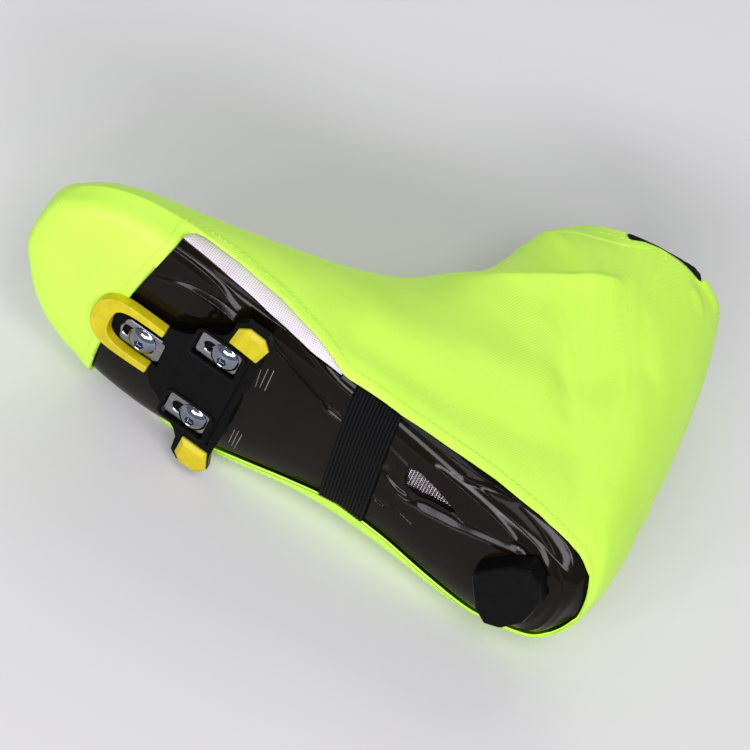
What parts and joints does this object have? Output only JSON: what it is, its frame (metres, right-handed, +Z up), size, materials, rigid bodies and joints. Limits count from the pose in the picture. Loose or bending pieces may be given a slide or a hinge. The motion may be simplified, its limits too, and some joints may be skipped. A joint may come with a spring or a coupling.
{
  "type": "cycling overshoe on a road cycling shoe",
  "caption": "Thin stretch overshoe pulled over a road cycling shoe, open underneath for the glossy sole, with an arch strap, a bolted cleat and a heel pad, lying on its side.",
  "frame": {"origin": "centre of the bottom of the bounding box, on the floor that the shoe lies on", "axes": "+Z up from the floor, the shoe's outer side down; +X from the toe to the heel; +Y from the sole to the collar"},
  "size_m": [0.2788, 0.1936, 0.1036],
  "materials": {
    "cover_fabric": "bright knit with a soft sheen",
    "grip_tape": "matt",
    "elastic": "ribbed, matt",
    "shoe_skin": "finely dotted, satin",
    "footbed": "matt",
    "gloss_sole": "high gloss",
    "vent_mesh": "woven, metallic grey",
    "pad_rubber": "satin",
    "cleat_black": "satin",
    "cleat_yellow": "satin",
    "washer_steel": "brushed",
    "bolt_chrome": "polished"
  },
  "bodies": {
    "root": {"overshoe_upper": "cover_fabric", "collar_gripper": "grip_tape", "arch_strap": "elastic", "shoe_upper": "shoe_skin", "insole": "footbed", "outsole": "gloss_sole", "vent_mesh": "vent_mesh", "heel_pad": "pad_rubber", "cleat_body": "cleat_black", "cleat_nose_pad": "cleat_yellow", "cleat_wing_pad_left": "cleat_yellow", "cleat_wing_pad_right": "cleat_yellow", "cleat_washer_front": "washer_steel", "cleat_washer_left": "washer_steel", "cleat_washer_right": "washer_steel", "cleat_bolt_front": "bolt_chrome", "cleat_bolt_left": "bolt_chrome", "cleat_bolt_right": "bolt_chrome"}
  },
  "joints": []
}
